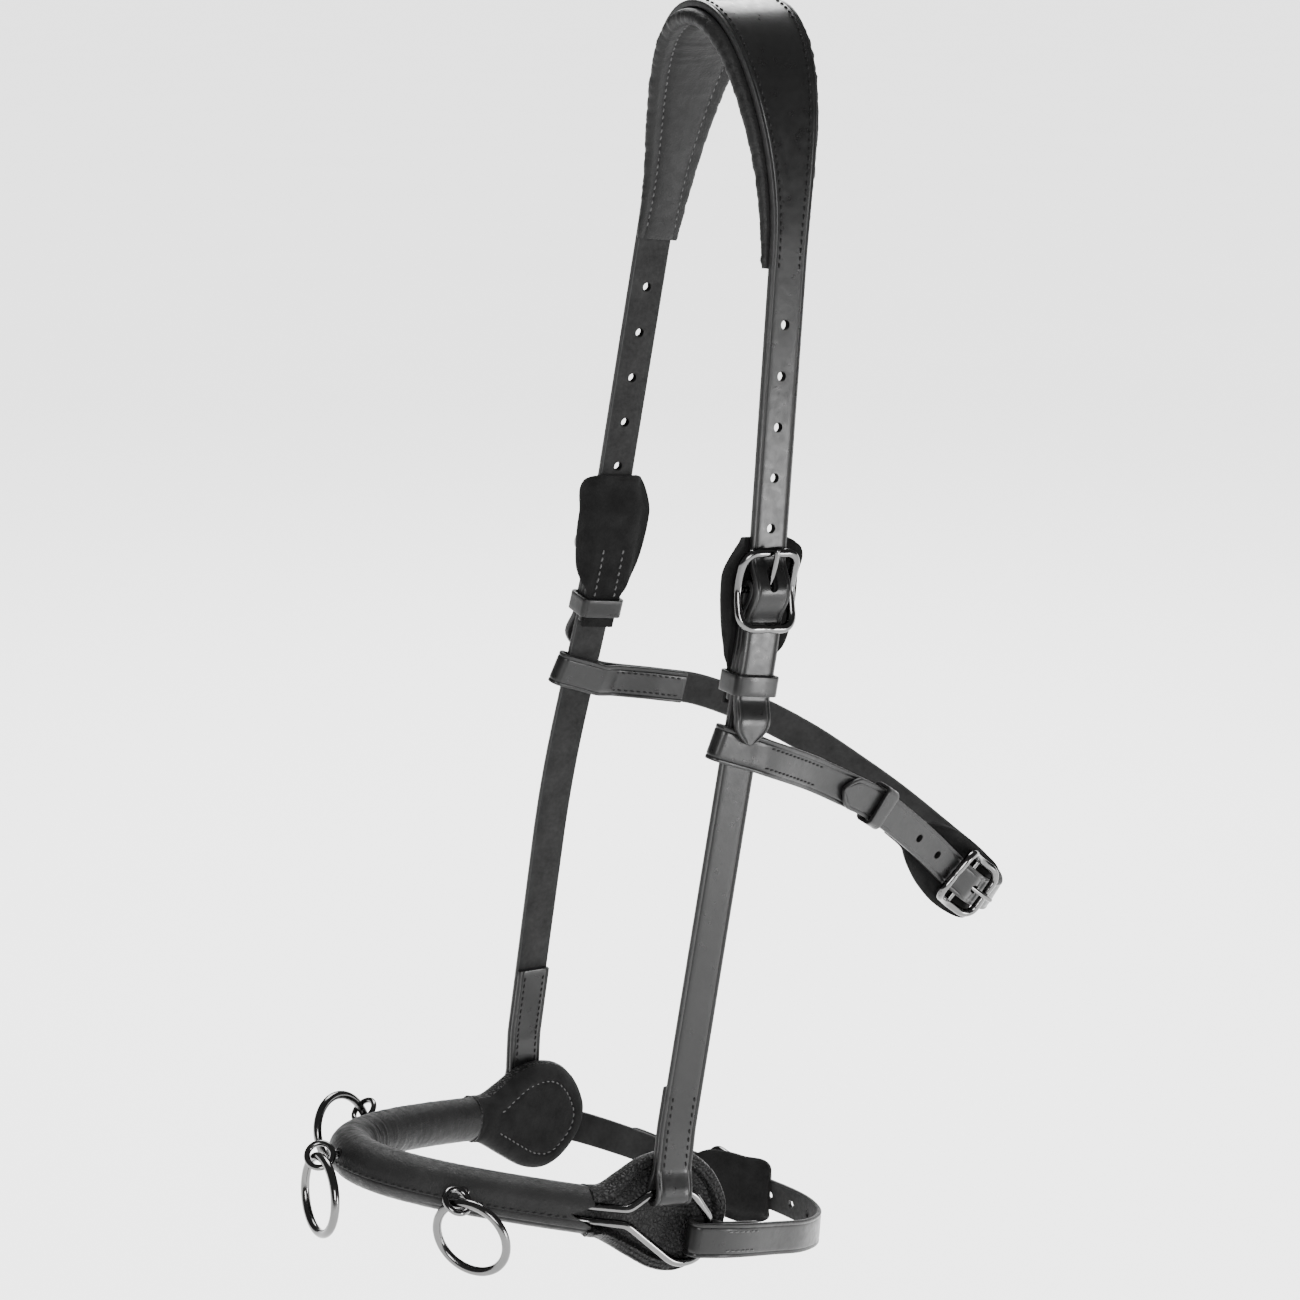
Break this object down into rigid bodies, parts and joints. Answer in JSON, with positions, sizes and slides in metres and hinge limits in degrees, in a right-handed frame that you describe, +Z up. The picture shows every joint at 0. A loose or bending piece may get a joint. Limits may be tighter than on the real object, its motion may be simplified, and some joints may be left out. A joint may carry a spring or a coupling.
{
  "type": "lunging cavesson",
  "caption": "Leather headpiece with padded crown, buckled cheek straps, jowl and chin straps, and a padded noseband carrying swinging rings for a lunge line or reins",
  "frame": {"origin": "underside of the crown lining at its middle, where it rests on the horse's poll", "axes": "+X to the rear of the horse, +Y to its far (right) side, +Z up; the near side is -Y"},
  "size_m": [0.3891, 0.1799, 0.6039],
  "materials": {
    "bridle_leather": "dyed black, waxed and lightly polished",
    "soft_leather": "soft dyed black, satin, wrinkled over padding",
    "suede": "black, napped and matt",
    "steel": "bright polished"
  },
  "bodies": {
    "headstall": {"crown_strap": "bridle_leather", "crown_lining": "soft_leather", "cheek_strap_near": "bridle_leather", "cheek_buckle_near": "steel", "cheek_guard_near": "suede", "cheek_strap_far": "bridle_leather", "cheek_buckle_far": "steel", "cheek_guard_far": "suede"},
    "cheek_prong_near": {"cheek_prong_near": "steel"},
    "cheek_keeper_near": {"cheek_keeper_near": "bridle_leather"},
    "cheek_prong_far": {"cheek_prong_far": "steel"},
    "cheek_keeper_far": {"cheek_keeper_far": "bridle_leather"},
    "jowl": {"jowl_buckle_strap": "bridle_leather", "jowl_long_strap": "bridle_leather", "jowl_buckle": "steel", "jowl_guard": "suede"},
    "jowl_prong": {"jowl_prong": "steel"},
    "jowl_keeper": {"jowl_keeper": "bridle_leather"},
    "noseband": {"noseband_tube": "soft_leather", "noseband_pad_near": "suede", "noseband_pad_far": "suede", "wire_loop_near": "steel", "wire_loop_far": "steel", "ring_eye_near": "steel", "ring_eye_front": "steel", "ring_eye_far": "steel", "chin_long_strap": "bridle_leather", "chin_buckle_strap": "bridle_leather", "chin_buckle": "steel", "chin_guard": "suede"},
    "ring_near": {"ring_near": "steel"},
    "ring_front": {"ring_front": "steel"},
    "ring_far": {"ring_far": "steel"},
    "chin_prong": {"chin_prong": "steel"},
    "chin_keeper": {"chin_keeper": "bridle_leather"}
  },
  "joints": [
    {"name": "cheek_prong_near_hinge", "type": "hinge", "parent": "headstall", "child": "cheek_prong_near", "pos_m": [-0.02516, -0.06792, -0.23022], "axis": [0.9912, -0.0138, -0.1313], "range_deg": [0, 6]},
    {"name": "cheek_keeper_near_slide", "type": "slide", "parent": "headstall", "child": "cheek_keeper_near", "axis": [-0.2079, -0.0531, -0.9767], "range_m": [-0.002, 0.003]},
    {"name": "cheek_prong_far_hinge", "type": "hinge", "parent": "headstall", "child": "cheek_prong_far", "pos_m": [-0.02517, 0.06597, -0.23025], "axis": [-0.9912, -0.012, 0.1317], "range_deg": [0, 6]},
    {"name": "cheek_keeper_far_slide", "type": "slide", "parent": "headstall", "child": "cheek_keeper_far", "axis": [-0.1899, 0.1027, -0.9764], "range_m": [-0.002, 0.003]},
    {"name": "jowl_slide", "type": "slide", "parent": "headstall", "child": "jowl", "axis": [-0.1995, 0.0249, -0.9796], "range_m": [-0.001, 0.008]},
    {"name": "jowl_prong_hinge", "type": "hinge", "parent": "jowl", "child": "jowl_prong", "pos_m": [0.11804, -0.03701, -0.41279], "axis": [-0.6671, 0.0942, -0.739], "range_deg": [0, 6]},
    {"name": "jowl_keeper_slide", "type": "slide", "parent": "jowl", "child": "jowl_keeper", "axis": [0.7828, 0.1829, -0.5948], "range_m": [-0.003, 0.003]},
    {"name": "noseband_hinge", "type": "hinge", "parent": "headstall", "child": "noseband", "pos_m": [-0.07747, -0.00378, -0.51569], "axis": [0.0495, 0.9847, -0.1672], "range_deg": [-5, 5]},
    {"name": "ring_near_swing", "type": "hinge", "parent": "noseband", "child": "ring_near", "pos_m": [-0.17568, -0.0573, -0.49113], "axis": [-0.5133, 0.7523, -0.413], "range_deg": [-30, 120]},
    {"name": "ring_front_swing", "type": "hinge", "parent": "noseband", "child": "ring_front", "pos_m": [-0.21461, 0.00573, -0.48794], "axis": [-0.0714, 0.8534, -0.5164], "range_deg": [-40, 120]},
    {"name": "ring_far_swing", "type": "hinge", "parent": "noseband", "child": "ring_far", "pos_m": [-0.16805, 0.06118, -0.50552], "axis": [0.3342, -0.2289, -0.9143], "range_deg": [-10, 110]},
    {"name": "chin_prong_hinge", "type": "hinge", "parent": "noseband", "child": "chin_prong", "pos_m": [0.01178, 0.00571, -0.57442], "axis": [0.1387, -0.0108, 0.9903], "range_deg": [0, 6]},
    {"name": "chin_keeper_slide", "type": "slide", "parent": "noseband", "child": "chin_keeper", "axis": [-0.6372, 0.7202, 0.2744], "range_m": [-0.003, 0.003]}
  ]
}
